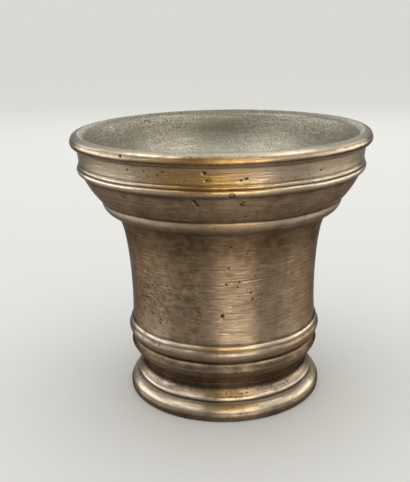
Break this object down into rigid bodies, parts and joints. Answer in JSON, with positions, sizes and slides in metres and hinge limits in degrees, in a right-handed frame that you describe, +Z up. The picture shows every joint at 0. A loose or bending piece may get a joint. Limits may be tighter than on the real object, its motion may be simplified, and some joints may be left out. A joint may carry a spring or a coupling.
{
  "type": "bronze mortar",
  "caption": "Turned bronze mortar with a rolled rim, moulded neck, waisted body, spread foot and deep rounded hollow for grinding.",
  "frame": {"origin": "centre of the ring the foot rests on", "axes": "+Z up along the axis it was turned on, -Y towards the side with the plug"},
  "size_m": [0.146, 0.146, 0.13],
  "materials": {
    "cast_bronze": "old turned bronze, brown patina rubbed bright on the raised mouldings, rough as cast inside",
    "plug_bronze": "bronze plug, filed flush"
  },
  "bodies": {
    "root": {"mortar_casting": "cast_bronze", "founders_plug": "plug_bronze"}
  },
  "joints": []
}
